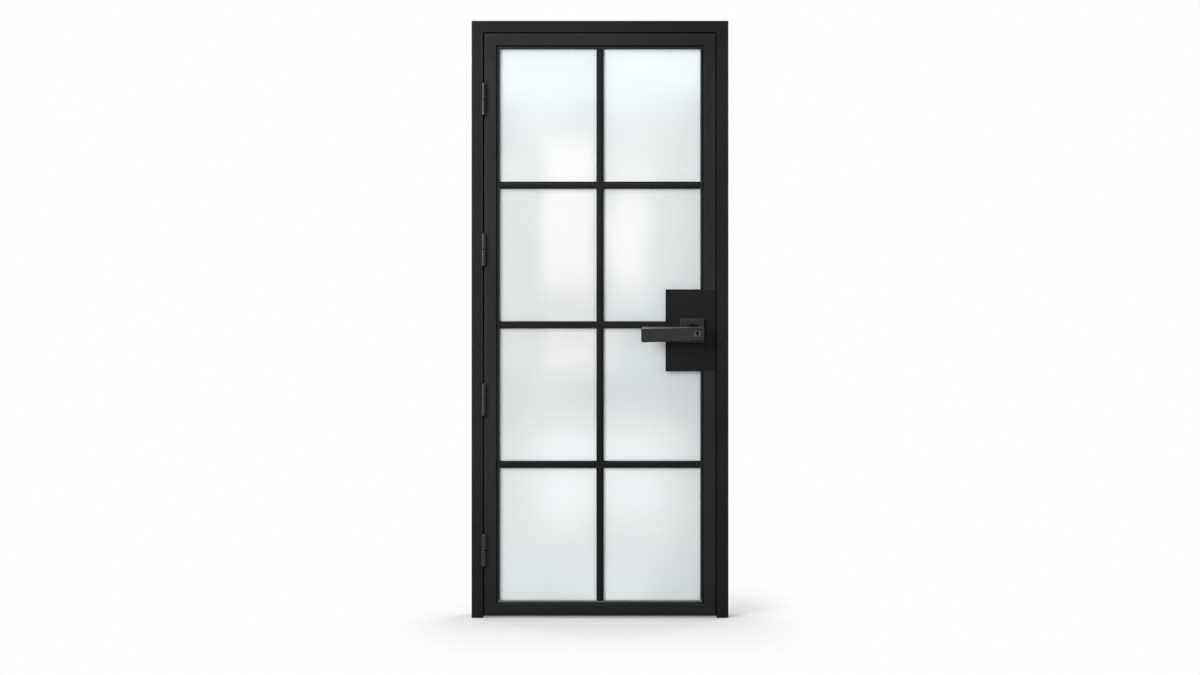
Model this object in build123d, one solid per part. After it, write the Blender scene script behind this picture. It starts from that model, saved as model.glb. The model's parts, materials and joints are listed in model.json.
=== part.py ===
from build123d import *
import os

# Glass door in its frame, in millimetres. The origin is on the floor, midway between the jambs and
# midway through the leaf. The pull side faces -Y, the hinges are at -X and +Z is up.

# Fixed frame, folded from steel sheet
frame_width = 918.0
frame_height = 2134.0
frame_depth = 100.0
frame_face = 42.0
frame_sheet = 2.0
fold_radius = 2.2
wall_lip = 14.0
stop_height = 16.0
reveal_gap = 4.0
floor_gap = 7.0

# Bulb seal on the stop
seal_gap = 4.0
seal_width = 9.0
seal_setback = 3.0
seal_round = 1.8
seal_wall = 1.0
soft_clearance = 0.3

# Wall fixings: sleeved and countersunk holes through the stop
fixing_lowest = 300.0
fixing_below_head = 334.0
fixing_count = 4
fixing_bore = 5.2
fixing_sleeve = 11.0
fixing_sink = 10.0

# Leaf: rolled steel tube with a glazing flange, a groove beside the tube and a rounded lip
leaf_thickness = 44.0
leaf_face = 42.0
tube_wall = 2.5
tube_round = 1.2
flange_width = 12.0
flange_recess = 10.0
flange_thickness = 4.0
groove_width = 5.5
lip_round = 4.0

# Glazing: gasket, glass, gasket, bead, from front to rear
pane_rows = 4
pane_columns = 2
gasket_thickness = 3.0
gasket_setback = 9.0
glass_thickness = 8.0
glass_edge_gap = 4.0
glass_notch_round = 6.0
bead_width = 10.0
bead_depth = 14.0
bead_bevel = 4.0
bead_clearance = 0.2

# Glazing bars: tee section with a raised rib in front
bar_width = 25.4
bar_web = 6.0
rib_width = 13.0
rib_height = 5.0
rib_round = 1.2

# Lock box, welded between the two lengths of lock stile
box_width = 178.4
box_height = 293.0
box_below_spindle = 145.6
box_wall = 3.0
box_rim = 12.0

# Hinges: lift-off barrels welded to the face
hinge_length = 114.3
hinge_inset = 235.5
hinge_count = 4
knuckle_radius = 7.75
knuckle_bevel = 1.2
knuckle_standoff = 0.25
knuckle_leg = 6.0
knuckle_leg_inset = 3.0
hinge_pin_radius = 4.5
hinge_pin_length = 84.0
hinge_washer = 1.2
washer_inset = 0.6
running_clearance = 0.05
press_clearance = 0.01

# Lock: spindle, follower, latch and case
spindle_backset = 84.4
spindle_height = 1026.6
spindle_side = 8.0
spindle_reach = 40.0
spindle_clearance = 0.05
follower_radius = 10.0
follower_journal = 8.0
follower_arm = 20.0
follower_nose = 4.0
follower_arm_width = 7.0
follower_clearance = 0.2
latch_throw = 12.0
latch_head_length = 36.0
latch_head_width = 14.0
latch_head_height = 26.0
latch_nose = 4.0
latch_tail_height = 8.0
latch_tail_width = 8.0
latch_lug_width = 8.0
latch_clearance = 0.3
nose_clearance = 0.3
tail_clearance = 1.0
case_thickness = 20.0
case_wall = 1.5
case_behind = 48.0
case_below = 30.0
case_above = 48.0
spring_height = 9.0
spring_strip = 0.8
spring_folds = 6
forend_width = 24.0
forend_length = 200.0
forend_screw = 2.2
forend_screw_inset = 7.0
forend_clearance = 0.2
forend_lug_depth = 8.0

# Strike in the lock-side jamb
strike_width = 30.0
strike_length = 124.0
strike_screw = 2.2
strike_screw_inset = 9.0
strike_clearance = 0.2
strike_mouth_gap = 1.0
strike_tab = 3.0
strike_tab_overlap = 18.0
dust_box_depth = 14.0
dust_box_wall = 1.5
dust_box_margin = 4.0

# Roses
rose_side = 86.0
rose_thickness = 10.0
rose_round = 2.5
rose_bevel = 1.5
rose_wall = 3.0
rose_collar = 4.0
rose_boss = 5.5
rose_screw = 2.5
rose_screw_head = 5.0
rose_screw_offset = 33.0
rose_screw_grip = 6.0
rose_screw_clearance = 0.6

# Levers
lever_tip_reach = 183.0
lever_head_reach = 39.4
lever_top = 13.0
lever_head_height = 49.5
lever_tip_height = 55.0
lever_projection = 64.0
lever_head_thickness = 18.0
lever_tip_thickness = 14.0
lever_round = 6.5
lever_edge = 1.2
lever_lower_bevel = 5.0
lever_tip_bevel = 8.0
lever_head_bevel = 1.5
neck_radius = 24.0
neck_gap = 0.3
spigot_radius = 15.0
spigot_setback = 1.0

# Key cylinder in the front lever
key_offset_x = 15.5
key_offset_z = -11.5
key_housing_radius = 17.0
key_housing_depth = 14.0
key_plug_radius = 14.0
key_plug_recess = 0.5
keyway_width = 4.5
keyway_height = 25.0
keyway_depth = 9.0
keyway_notch = 12.0
keyway_notch_height = 5.0
keyway_notch_rise = 2.0

# One overrun for every cut
overrun = 5.0

# Planes that the pieces share
frame_edge = frame_width / 2
leaf_front = -leaf_thickness / 2
leaf_back = leaf_thickness / 2
frame_back = leaf_front + frame_depth
stop_front = leaf_back + seal_gap
stop_edge = frame_face + stop_height
leaf_edge = frame_edge - frame_face - reveal_gap
leaf_top = frame_height - frame_face - reveal_gap
leaf_bottom = floor_gap
tube_edge = leaf_edge - leaf_face
tube_top = leaf_top - leaf_face
tube_bottom = leaf_bottom + leaf_face
sight_edge = tube_edge - flange_width
sight_top = tube_top - flange_width
sight_bottom = tube_bottom + flange_width
flange_front = leaf_front + flange_recess
flange_back = flange_front + flange_thickness
glass_front = flange_back + gasket_thickness
glass_back = glass_front + glass_thickness
bead_front = glass_back + gasket_thickness
bead_back = bead_front + bead_depth
rib_front = flange_front - rib_height
halving = (flange_back + bead_back) / 2
box_left = leaf_edge - box_width
box_bottom = spindle_height - box_below_spindle
box_top = box_bottom + box_height
pane_height = (sight_top - sight_bottom - (pane_rows - 1) * bar_width) / pane_rows
cross_bar_heights = [
    sight_top - (row + 1) * (pane_height + bar_width) + bar_width / 2 for row in range(pane_rows - 1)
]
hinge_x = -leaf_edge - reveal_gap / 2
hinge_y = leaf_front - knuckle_standoff - knuckle_radius
hinge_pitch = (leaf_top - leaf_bottom - 2 * hinge_inset) / (hinge_count - 1)
hinge_heights = [leaf_bottom + hinge_inset + hinge_pitch * number for number in range(hinge_count)]
fixing_pitch = (frame_height - fixing_below_head - fixing_lowest) / (fixing_count - 1)
fixing_heights = [fixing_lowest + fixing_pitch * number for number in range(fixing_count)]
spindle_x = leaf_edge - spindle_backset
rose_front = leaf_front - rose_thickness
lever_front = leaf_front - lever_projection
lever_head_back = lever_front + lever_head_thickness
forend_back = leaf_edge - box_wall
case_left = spindle_x - case_behind
case_front = -case_thickness / 2
case_back = case_thickness / 2
tail_bottom = spindle_height + follower_arm + follower_nose + tail_clearance
latch_height = tail_bottom + latch_tail_height / 2
strike_face = frame_edge - frame_face
frame_mitre = stop_edge + overrun
leaf_mitre = leaf_face + flange_width + overrun


def block(x0, x1, y0, y1, z0, z1):
    """A box between two opposite corners."""
    middle = Pos((x0 + x1) / 2, (y0 + y1) / 2, (z0 + z1) / 2)
    return middle * Box(x1 - x0, y1 - y0, z1 - z0)


def slab(outline, y0, y1):
    """A front-view outline given thickness from y0 to y1."""
    back_plane = Plane((0, y1, 0), x_dir=(1, 0, 0), z_dir=(0, -1, 0))
    return extrude(back_plane * outline, amount=y1 - y0)


def rod_y(x, z, y0, y1, radius):
    """A round bar along Y."""
    return slab(Pos(x, z) * Circle(radius), y0, y1)


def rod_x(y, z, x0, x1, radius):
    """A round bar along X."""
    return extrude(Plane.YZ.offset(x0) * Pos(y, z) * Circle(radius), amount=x1 - x0)


def cone_x(y, z, x0, x1, radius0, radius1):
    """A cone frustum along X, for countersinks."""
    profile = Polygon((x0, 0), (x1, 0), (x1, radius1), (x0, radius0))
    return Pos(0, y, z) * revolve(Plane.XY * profile, axis=Axis.X)


def cone_y(x, z, y0, y1, radius0, radius1):
    """A cone frustum along Y, for countersinks."""
    profile = Polygon((0, y0), (radius0, y0), (radius1, y1), (0, y1))
    return Pos(x, 0, z) * revolve(Plane.XY * profile, axis=Axis.Y)


def rectangle(x0, x1, y0, y1):
    """A flat rectangle between two opposite corners."""
    return Pos((x0 + x1) / 2, (y0 + y1) / 2) * Rectangle(x1 - x0, y1 - y0)


def only_solid(shape):
    """The single solid of a boolean result."""
    return shape.solids()[0]


def frame_section():
    """Folded sheet from the wall edge inward: lip, face, rebate, stop, back and lip."""
    outside = FilletPolyline(
        (0, leaf_front + wall_lip),
        (0, leaf_front),
        (frame_face, leaf_front),
        (frame_face, stop_front),
        (stop_edge, stop_front),
        (stop_edge, frame_back),
        (0, frame_back),
        (0, frame_back - wall_lip),
        radius=fold_radius,
    )
    return make_face(offset(outside, amount=frame_sheet, side=Side.LEFT))


def seal_section():
    """Hollow bulb strip that stands on the stop and ends just short of the leaf."""
    height = seal_gap - soft_clearance
    middle = Pos(frame_face + seal_setback + seal_width / 2, stop_front - height / 2)
    bulb = RectangleRounded(seal_width, height, seal_round)
    hollow = RectangleRounded(seal_width - 2 * seal_wall, height - 2 * seal_wall, seal_round - seal_wall)
    flat_back = Pos(0, height / 4) * Rectangle(seal_width, height / 2)
    return middle * (bulb + flat_back - hollow)


def upright(section):
    """A section stood against the hinge-side wall line, mitred at the head."""
    wall_line = Plane((-frame_edge, 0, 0), x_dir=(1, 0, 0), z_dir=(0, 0, 1))
    length = extrude(wall_line * section, amount=frame_height)
    mitre = Polygon(
        (-frame_edge - overrun, -overrun),
        (-frame_edge + frame_mitre, -overrun),
        (-frame_edge + frame_mitre, frame_height - frame_mitre),
        (-frame_edge - overrun, frame_height + overrun),
    )
    return only_solid(length & slab(mitre, leaf_front - overrun, frame_back + overrun))


def header(section):
    """A section laid across the top, mitred at both ends."""
    top_line = Plane((-frame_edge, 0, frame_height), x_dir=(0, 0, -1), z_dir=(1, 0, 0))
    length = extrude(top_line * section, amount=frame_width)
    mitre = Polygon(
        (-frame_edge - overrun, frame_height + overrun),
        (-frame_edge + frame_mitre, frame_height - frame_mitre),
        (frame_edge - frame_mitre, frame_height - frame_mitre),
        (frame_edge + overrun, frame_height + overrun),
    )
    return only_solid(length & slab(mitre, leaf_front - overrun, frame_back + overrun))


def plain_jamb():
    """Hinge-side jamb with its sleeved wall fixings in the stop."""
    jamb = upright(frame_section())
    soffit = -frame_edge + stop_edge
    fixing_y = (stop_front + frame_back) / 2
    for height in fixing_heights:
        jamb += rod_x(fixing_y, height, -frame_edge, soffit - frame_sheet / 2, fixing_sleeve)
        jamb -= rod_x(fixing_y, height, -frame_edge - overrun, soffit + overrun, fixing_bore)
        sink_start = soffit - (fixing_sink - fixing_bore)
        jamb -= cone_x(fixing_y, height, sink_start, soffit, fixing_bore, fixing_sink)
    return only_solid(jamb)


def strike_jamb():
    """The mirrored jamb, cut out for the strike, with two tabs that take its screws."""
    jamb = mirror(plain_jamb(), about=Plane.YZ)
    half_width = strike_width / 2
    half_length = strike_length / 2
    inner_face = strike_face + frame_sheet
    for end in (-1, 1):
        tab_middle = latch_height + end * half_length
        tab = block(
            inner_face, inner_face + strike_tab,
            -half_width, half_width,
            tab_middle - strike_tab_overlap, tab_middle + strike_tab_overlap,
        )
        screw_height = latch_height + end * (half_length - strike_screw_inset)
        jamb += tab - rod_x(0, screw_height, strike_face, inner_face + strike_tab + overrun, strike_screw)
    jamb -= block(
        strike_face - overrun, inner_face,
        -half_width - strike_clearance, half_width + strike_clearance,
        latch_height - half_length - strike_clearance, latch_height + half_length + strike_clearance,
    )
    return only_solid(jamb)


def strike_mouth(x0, x1):
    """The opening that takes the latch."""
    half_width = latch_head_width / 2 + strike_mouth_gap
    half_height = latch_head_height / 2 + strike_mouth_gap
    return block(x0, x1, -half_width, half_width, latch_height - half_height, latch_height + half_height)


def strike_plate():
    """Plate flush in the jamb, with the latch mouth and two countersunk holes."""
    half_width = strike_width / 2
    half_length = strike_length / 2
    back = strike_face + frame_sheet
    plate = block(
        strike_face, back, -half_width, half_width, latch_height - half_length, latch_height + half_length
    )
    plate -= strike_mouth(strike_face - overrun, back + overrun)
    for end in (-1, 1):
        screw_height = latch_height + end * (half_length - strike_screw_inset)
        plate -= rod_x(0, screw_height, strike_face - overrun, back + overrun, strike_screw)
        plate -= cone_x(0, screw_height, strike_face, back, strike_screw + frame_sheet, strike_screw)
    return only_solid(plate)


def dust_box():
    """Open-fronted box behind the strike that keeps the latch pocket clear."""
    front = strike_face + frame_sheet
    back = front + dust_box_depth
    half_width = latch_head_width / 2 + dust_box_margin
    half_height = latch_head_height / 2 + dust_box_margin
    shell = block(
        front, back, -half_width, half_width, latch_height - half_height, latch_height + half_height
    )
    half_width -= dust_box_wall
    half_height -= dust_box_wall
    pocket = block(
        front - overrun, back - dust_box_wall,
        -half_width, half_width,
        latch_height - half_height, latch_height + half_height,
    )
    return only_solid(shell - pocket)


def knuckle(low, high, side):
    """One barrel half with the leg that is welded to the face on its own side of the gap."""
    foot = Plane.XY.offset(low)
    barrel = extrude(foot * Pos(hinge_x, hinge_y) * Circle(knuckle_radius), amount=high - low)
    barrel = chamfer(barrel.edges().filter_by(GeomType.CIRCLE), knuckle_bevel)
    near = hinge_x + side * knuckle_leg_inset
    far = near + side * knuckle_leg
    leg = block(
        min(near, far), max(near, far),
        hinge_y, leaf_front,
        low + knuckle_bevel, high - knuckle_bevel,
    )
    return barrel + leg


def jamb_knuckle(height):
    """Lower half, with a blind bore that holds the pin."""
    low = height - hinge_length / 2
    high = height - hinge_washer / 2
    pin_low = height - hinge_pin_length / 2
    bore = Circle(hinge_pin_radius + press_clearance)
    foot = Plane.XY.offset(pin_low)
    bore = extrude(foot * Pos(hinge_x, hinge_y) * bore, amount=high - pin_low + overrun)
    return only_solid(knuckle(low, high, -1) - bore)


def leaf_knuckle(height):
    """Upper half, with a blind bore that turns on the pin."""
    low = height + hinge_washer / 2
    high = height + hinge_length / 2
    pin_high = height + hinge_pin_length / 2 + running_clearance
    bore = Circle(hinge_pin_radius + running_clearance)
    mouth = Plane.XY.offset(low - overrun)
    bore = extrude(mouth * Pos(hinge_x, hinge_y) * bore, amount=pin_high - low + overrun)
    return only_solid(knuckle(low, high, 1) - bore)


def hinge_pins():
    """One round pin for each hinge."""
    pins = []
    for height in hinge_heights:
        foot = Plane.XY.offset(height - hinge_pin_length / 2)
        pins.append(extrude(foot * Pos(hinge_x, hinge_y) * Circle(hinge_pin_radius), amount=hinge_pin_length))
    return pins


def hinge_washers():
    """One flat bearing washer between the knuckles of each hinge."""
    ring = Circle(knuckle_radius - washer_inset) - Circle(hinge_pin_radius + running_clearance)
    washers = []
    for height in hinge_heights:
        seat = Plane.XY.offset(height - hinge_washer / 2)
        washers.append(extrude(seat * Pos(hinge_x, hinge_y) * ring, amount=hinge_washer))
    return washers


def leaf_section():
    """Square tube with a fixed, lipped glazing flange, from the leaf's outer edge inward."""
    tube = Pos(leaf_face / 2, 0) * RectangleRounded(leaf_face, leaf_thickness, tube_round)
    flange = rectangle(leaf_face - tube_wall, leaf_face + flange_width, flange_front, flange_back)
    lip = rectangle(leaf_face + groove_width, leaf_face + flange_width, rib_front, flange_front)
    lip = fillet(lip.vertices().group_by(Axis.Y)[0].sort_by(Axis.X)[-1], lip_round)
    hollow = rectangle(tube_wall, leaf_face - tube_wall, leaf_front + tube_wall, leaf_back - tube_wall)
    return tube + flange + lip - hollow


def leaf_member(origin, inward, along, length, outline):
    """A length of leaf section, trimmed to its mitred front-view outline."""
    section = Plane(origin, x_dir=inward, z_dir=along) * leaf_section()
    trimmed = extrude(section, amount=length) & slab(outline, leaf_front - overrun, leaf_back + overrun)
    return only_solid(trimmed)


def hinge_stile():
    """Full-height stile on the hinge side."""
    outline = Polygon(
        (-leaf_edge - overrun, leaf_bottom - overrun),
        (-leaf_edge + leaf_mitre, leaf_bottom + leaf_mitre),
        (-leaf_edge + leaf_mitre, leaf_top - leaf_mitre),
        (-leaf_edge - overrun, leaf_top + overrun),
    )
    origin = (-leaf_edge, 0, leaf_bottom)
    return leaf_member(origin, (1, 0, 0), (0, 0, 1), leaf_top - leaf_bottom, outline)


def lock_stiles():
    """Upper and lower lengths of the lock stile, with the lock box between them."""
    stile = mirror(hinge_stile(), about=Plane.YZ)
    gap = block(
        sight_edge - overrun, leaf_edge + overrun,
        leaf_front - overrun, leaf_back + overrun,
        box_bottom, box_top,
    )
    lower, upper = (stile - gap).solids().sort_by(Axis.Z)
    return upper, lower


def top_rail():
    """Rail across the top of the leaf."""
    outline = Polygon(
        (-leaf_edge - overrun, leaf_top + overrun),
        (-leaf_edge + leaf_mitre, leaf_top - leaf_mitre),
        (leaf_edge - leaf_mitre, leaf_top - leaf_mitre),
        (leaf_edge + overrun, leaf_top + overrun),
    )
    return leaf_member((-leaf_edge, 0, leaf_top), (0, 0, -1), (1, 0, 0), 2 * leaf_edge, outline)


def bottom_rail():
    """Rail across the foot of the leaf."""
    outline = Polygon(
        (-leaf_edge - overrun, leaf_bottom - overrun),
        (leaf_edge + overrun, leaf_bottom - overrun),
        (leaf_edge - leaf_mitre, leaf_bottom + leaf_mitre),
        (-leaf_edge + leaf_mitre, leaf_bottom + leaf_mitre),
    )
    return leaf_member((leaf_edge, 0, leaf_bottom), (0, 0, 1), (-1, 0, 0), 2 * leaf_edge, outline)


def bar_section():
    """Tee with a raised rib: the rib and flange face the front, the web runs back between the panes."""
    rib = Pos(0, flange_front - rib_height / 2) * Rectangle(rib_width, rib_height)
    rib = fillet(rib.vertices().group_by(Axis.Y)[0], rib_round)
    flange = rectangle(-bar_width / 2, bar_width / 2, flange_front, flange_back)
    web = rectangle(-bar_web / 2, bar_web / 2, flange_back, bead_back)
    return rib + flange + web


def upright_bar():
    """Bar from rail to rail, with a flush square at each crossing and slots for the cross bars."""
    foot = Plane((0, 0, tube_bottom), x_dir=(1, 0, 0), z_dir=(0, 0, 1))
    bar = extrude(foot * bar_section(), amount=tube_top - tube_bottom)
    half = bar_width / 2
    for low, high in ((tube_bottom - overrun, sight_bottom), (sight_top, tube_top + overrun)):
        bar -= block(-half - overrun, half + overrun, rib_front - overrun, flange_back, low, high)
    for height in cross_bar_heights:
        bar += block(-half, half, rib_front, flange_front, height - half, height + half)
        bar -= block(
            -half, half, halving, bead_back + overrun, height - bar_web / 2, height + bar_web / 2
        )
    return only_solid(bar)


def cross_bar(height):
    """Bar from stile to stile, or to the lock box, halved into the upright bar."""
    meets_box = box_bottom < height < box_top
    web_end = box_left + box_rim if meets_box else tube_edge
    face_end = box_left if meets_box else sight_edge
    left_end = Plane((-tube_edge, 0, height), x_dir=(0, 0, -1), z_dir=(1, 0, 0))
    bar = extrude(left_end * bar_section(), amount=web_end + tube_edge)
    half = bar_width / 2
    cuts = (
        (-tube_edge - overrun, -sight_edge, rib_front - overrun, flange_back),
        (face_end, web_end + overrun, rib_front - overrun, flange_back),
        (-half, half, rib_front - overrun, flange_back),
        (-bar_web / 2, bar_web / 2, flange_back - overrun, halving),
    )
    for x0, x1, y0, y1 in cuts:
        bar -= block(x0, x1, y0, y1, height - half - overrun, height + half + overrun)
    return only_solid(bar)


def lite_corners(column, row, margin):
    """Corners of one glazing rebate, drawn in by a margin and notched where the lock box reaches in."""
    web = bar_web / 2
    x0 = (web if column else -tube_edge) + margin
    x1 = (tube_edge if column else -web) - margin
    z1 = (cross_bar_heights[row - 1] - web if row else tube_top) - margin
    z0 = (cross_bar_heights[row] + web if row < pane_rows - 1 else tube_bottom) + margin
    notch_x = box_left + box_rim - margin
    notch_bottom = box_bottom + box_rim - margin
    notch_top = box_top - box_rim + margin
    if not column or notch_top <= z0 or notch_bottom >= z1:
        return [(x0, z0), (x1, z0), (x1, z1), (x0, z1)]
    foot = [(notch_x, z0)]
    if notch_bottom > z0:
        foot = [(x1, z0), (x1, notch_bottom), (notch_x, notch_bottom)]
    head = [(notch_x, z1)]
    if notch_top < z1:
        head = [(notch_x, notch_top), (x1, notch_top), (x1, z1)]
    return [(x0, z0), *foot, *head, (x0, z1)]


def pane(column, row):
    """One sheet of frosted glass, with a rounded inner corner where it is notched."""
    corners = lite_corners(column, row, glass_edge_gap)
    outline = Polygon(*corners)
    if len(corners) > 4:
        inner_corner = [vertex for vertex in outline.vertices() if is_notch_corner(vertex)]
        outline = fillet(inner_corner, glass_notch_round)
    return only_solid(slab(outline, glass_front, glass_back))


def is_notch_corner(vertex):
    """True at the re-entrant corner of a notched pane."""
    at_side = abs(vertex.X - (box_left + box_rim - glass_edge_gap)) < glass_edge_gap / 2
    levels = (box_top - box_rim + glass_edge_gap, box_bottom + box_rim - glass_edge_gap)
    return at_side and min(abs(vertex.Y - level) for level in levels) < glass_edge_gap / 2


def glazing_gaskets():
    """A gasket ring in front of each pane and another behind it."""
    rings = []
    for column in range(pane_columns):
        for row in range(pane_rows):
            ring = Polygon(*lite_corners(column, row, glass_edge_gap))
            ring -= Polygon(*lite_corners(column, row, gasket_setback))
            rings.append(slab(ring, flange_back, glass_front))
            rings.append(slab(ring, glass_back, bead_front))
    return rings


def beads(column, row):
    """The mitred lengths of rear bead round one pane, each bevelled towards the glass."""
    outer = lite_corners(column, row, bead_clearance)
    inner = lite_corners(column, row, bead_width)
    runs = []
    for index in range(len(outer)):
        following = (index + 1) % len(outer)
        a, b = inner[following], inner[index]
        run = slab(Polygon(outer[index], outer[following], a, b), bead_front, bead_back)
        sight_line = ((a[0] + b[0]) / 2, bead_back, (a[1] + b[1]) / 2)
        runs.append(only_solid(chamfer(run.edges().sort_by_distance(sight_line)[0], bead_bevel)))
    return runs


def lock_box():
    """Welded box, flush with the stile and rebated at the rear where it meets the glass."""
    rim_left = box_left + box_rim
    rim_bottom = box_bottom + box_rim
    rim_top = box_top - box_rim
    inner_edge = leaf_edge - box_wall
    behind = leaf_back + overrun
    box = block(box_left, leaf_edge, leaf_front, leaf_back, box_bottom, box_top)
    box = fillet(box.edges().filter_by(Axis.Z).group_by(Axis.X)[-1], tube_round)
    rebate = block(
        box_left - overrun, tube_edge, flange_back, behind, box_bottom - overrun, box_top + overrun
    )
    box -= rebate - block(rim_left, tube_edge, flange_back, behind, rim_bottom, rim_top)
    box -= block(
        box_left + box_wall, inner_edge,
        leaf_front + box_wall, flange_back - box_wall,
        box_bottom + box_wall, box_top - box_wall,
    )
    box -= block(
        rim_left + box_wall, inner_edge,
        leaf_front + box_wall, leaf_back - box_wall,
        rim_bottom + box_wall, rim_top - box_wall,
    )
    box += forend_lugs()
    box -= forend_blank(forend_clearance)
    for height in forend_screw_heights():
        box -= rod_x(0, height, inner_edge - forend_lug_depth - overrun, inner_edge + overrun, forend_screw)
    box -= rod_y(spindle_x, spindle_height, leaf_front - overrun, behind, spigot_radius)
    for x in rose_screw_places():
        box -= rod_y(x, spindle_height, leaf_front - overrun, behind, rose_screw + rose_screw_clearance)
    return only_solid(box)


def forend_middle():
    """Height of the middle of the forend, halfway up the lock box."""
    return (box_bottom + box_top) / 2


def forend_screw_heights():
    """Heights of the two forend screws."""
    offset_from_middle = forend_length / 2 - forend_screw_inset
    return forend_middle() - offset_from_middle, forend_middle() + offset_from_middle


def forend_lugs():
    """Two lugs inside the box edge, behind the ends of the forend, that take its screws."""
    inner_edge = leaf_edge - box_wall
    ends = (forend_middle() - forend_length / 2, forend_middle() + forend_length / 2)
    reach = 2 * forend_screw_inset
    half_width = forend_width / 2
    return [
        block(inner_edge - forend_lug_depth, inner_edge, -half_width, half_width, end - reach, end + reach)
        for end in ends
    ]


def forend_blank(clearance):
    """The forend's outline through the box edge, with a clearance all round."""
    half_width = forend_width / 2 + clearance
    half_length = forend_length / 2 + clearance
    middle = forend_middle()
    return block(forend_back, leaf_edge, -half_width, half_width, middle - half_length, middle + half_length)


def forend():
    """Plate flush in the leaf edge, with the latch hole and two countersunk screw holes."""
    half_width = latch_head_width / 2 + latch_clearance
    half_height = latch_head_height / 2 + latch_clearance
    plate = forend_blank(0)
    plate -= block(
        forend_back - overrun, leaf_edge + overrun,
        -half_width, half_width,
        latch_height - half_height, latch_height + half_height,
    )
    for height in forend_screw_heights():
        plate -= rod_x(0, height, forend_back - overrun, leaf_edge + overrun, forend_screw)
        plate -= cone_x(0, height, forend_back, leaf_edge, forend_screw, forend_screw + box_wall)
    return only_solid(plate)


def case_holes(shape, y0, y1):
    """Cuts the follower bearing and the two screw passages through a case wall."""
    shape -= rod_y(spindle_x, spindle_height, y0, y1, follower_journal + running_clearance)
    for x in rose_screw_places():
        shape -= rod_y(x, spindle_height, y0, y1, rose_screw + rose_screw_clearance)
    return only_solid(shape)


def lock_case():
    """Tray that stands behind the forend, open to the forend and to the cover."""
    bottom = spindle_height - case_below
    top = spindle_height + case_above
    tray = block(case_left, forend_back, case_front, case_back, bottom, top)
    tray -= block(
        case_left + case_wall, forend_back + overrun,
        case_front + case_wall, case_back + overrun,
        bottom + case_wall, top - case_wall,
    )
    return case_holes(tray, case_front - overrun, case_back + overrun)


def lock_cover():
    """Flat cover on the rear of the lock case."""
    bottom = spindle_height - case_below
    top = spindle_height + case_above
    cover = block(case_left, forend_back, case_back, case_back + case_wall, bottom, top)
    return case_holes(cover, case_back - overrun, case_back + case_wall + overrun)


def square_bar(side, y0, y1):
    """A square bar on the spindle's axis."""
    half = side / 2
    return block(spindle_x - half, spindle_x + half, y0, y1, spindle_height - half, spindle_height + half)


def follower():
    """Hub on the spindle, with journals in the case and an arm that draws the latch back."""
    inner_front = case_front + case_wall + follower_clearance
    inner_back = case_back - follower_clearance
    nose_height = spindle_height + follower_arm
    hub = rod_y(spindle_x, spindle_height, inner_front, inner_back, follower_radius)
    hub += rod_y(spindle_x, spindle_height, case_front, case_back + case_wall, follower_journal)
    half_tail = latch_tail_width / 2
    half_arm = follower_arm_width / 2
    hub += block(
        spindle_x - half_arm, spindle_x + half_arm, -half_tail, half_tail, spindle_height, nose_height
    )
    hub += rod_y(spindle_x, nose_height, -half_tail, half_tail, follower_nose)
    hub -= square_bar(spindle_side + 2 * spindle_clearance, case_front - overrun, case_back + overrun)
    return only_solid(hub)


def latch_bolt():
    """Latch with a bevel towards the stop, and a tail whose lug hangs behind the follower's nose."""
    tip = leaf_edge + latch_throw
    heel = tip - latch_head_length
    half_width = latch_head_width / 2
    plan = Polygon(
        (heel, -half_width),
        (tip, -half_width),
        (tip, -half_width + latch_nose),
        (leaf_edge, half_width),
        (heel, half_width),
    )
    low = latch_height - latch_head_height / 2
    bolt = extrude(Plane.XY.offset(low) * plan, amount=latch_head_height)
    lug_front = spindle_x - follower_nose - nose_clearance
    lug_back = lug_front - latch_lug_width
    half_tail = latch_tail_width / 2
    tail_top = tail_bottom + latch_tail_height
    lug_bottom = spindle_height + follower_radius + tail_clearance
    bolt += block(lug_back, heel, -half_tail, half_tail, tail_bottom, tail_top)
    bolt += block(lug_back, lug_front, -half_tail, half_tail, lug_bottom, tail_bottom)
    return only_solid(bolt)


def latch_spring():
    """Folded flat spring between the latch lug and the back wall of the case."""
    start = case_left + case_wall
    end = spindle_x - follower_nose - nose_clearance - latch_lug_width
    middle = (spindle_height + follower_radius + tail_clearance + tail_bottom) / 2
    low = middle - spring_height / 2
    high = middle + spring_height / 2
    half = latch_tail_width / 2
    pitch = (end - start - spring_strip) / spring_folds
    spring = block(start, start + spring_strip, -half, half, low, high)
    for fold in range(spring_folds):
        near = start + fold * pitch
        far = near + pitch
        level = low if fold % 2 else high - spring_strip
        spring += block(far, far + spring_strip, -half, half, low, high)
        spring += block(near, far + spring_strip, -half, half, level, level + spring_strip)
    return only_solid(spring)


def spindle_end():
    """Distance from the leaf's middle to either end of the spindle."""
    return leaf_back + spindle_reach


def spindle():
    """Square bar through both levers and the follower."""
    return square_bar(spindle_side, -spindle_end(), spindle_end())


def rose_screw_places():
    """The two rose screws stand left and right of the spindle."""
    return spindle_x - rose_screw_offset, spindle_x + rose_screw_offset


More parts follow.
